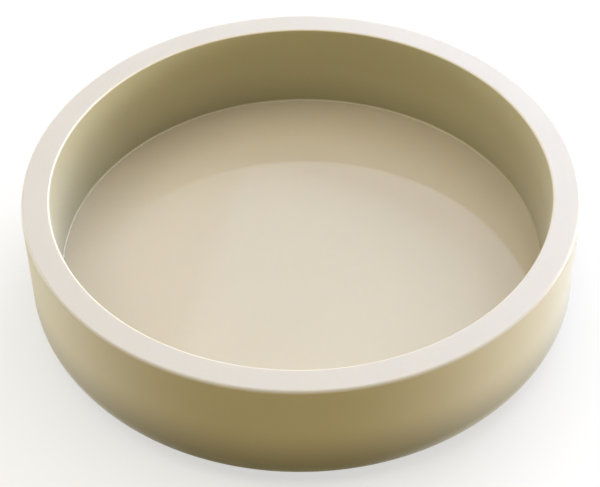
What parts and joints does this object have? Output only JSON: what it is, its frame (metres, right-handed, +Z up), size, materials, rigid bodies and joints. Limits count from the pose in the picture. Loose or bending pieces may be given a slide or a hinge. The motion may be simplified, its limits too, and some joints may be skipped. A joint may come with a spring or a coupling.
{
  "type": "silicone cake mould",
  "caption": "Round cake mould of thick cast silicone: straight wall, flat rim with softened edges, shallow drafted cavity with a flat floor, and a rounded foot to stand on.",
  "frame": {"origin": "centre of the flat underside, on the surface that the mould stands on", "axes": "+Z up out of the mouth, along the axis that the mould is round about; +X and +Y are any two square directions"},
  "size_m": [0.2, 0.2, 0.048],
  "materials": {
    "silicone": "beige cast silicone, satin, with a soft sheen on the flat faces"
  },
  "bodies": {
    "root": {"side_wall": "silicone", "base": "silicone"}
  },
  "joints": []
}
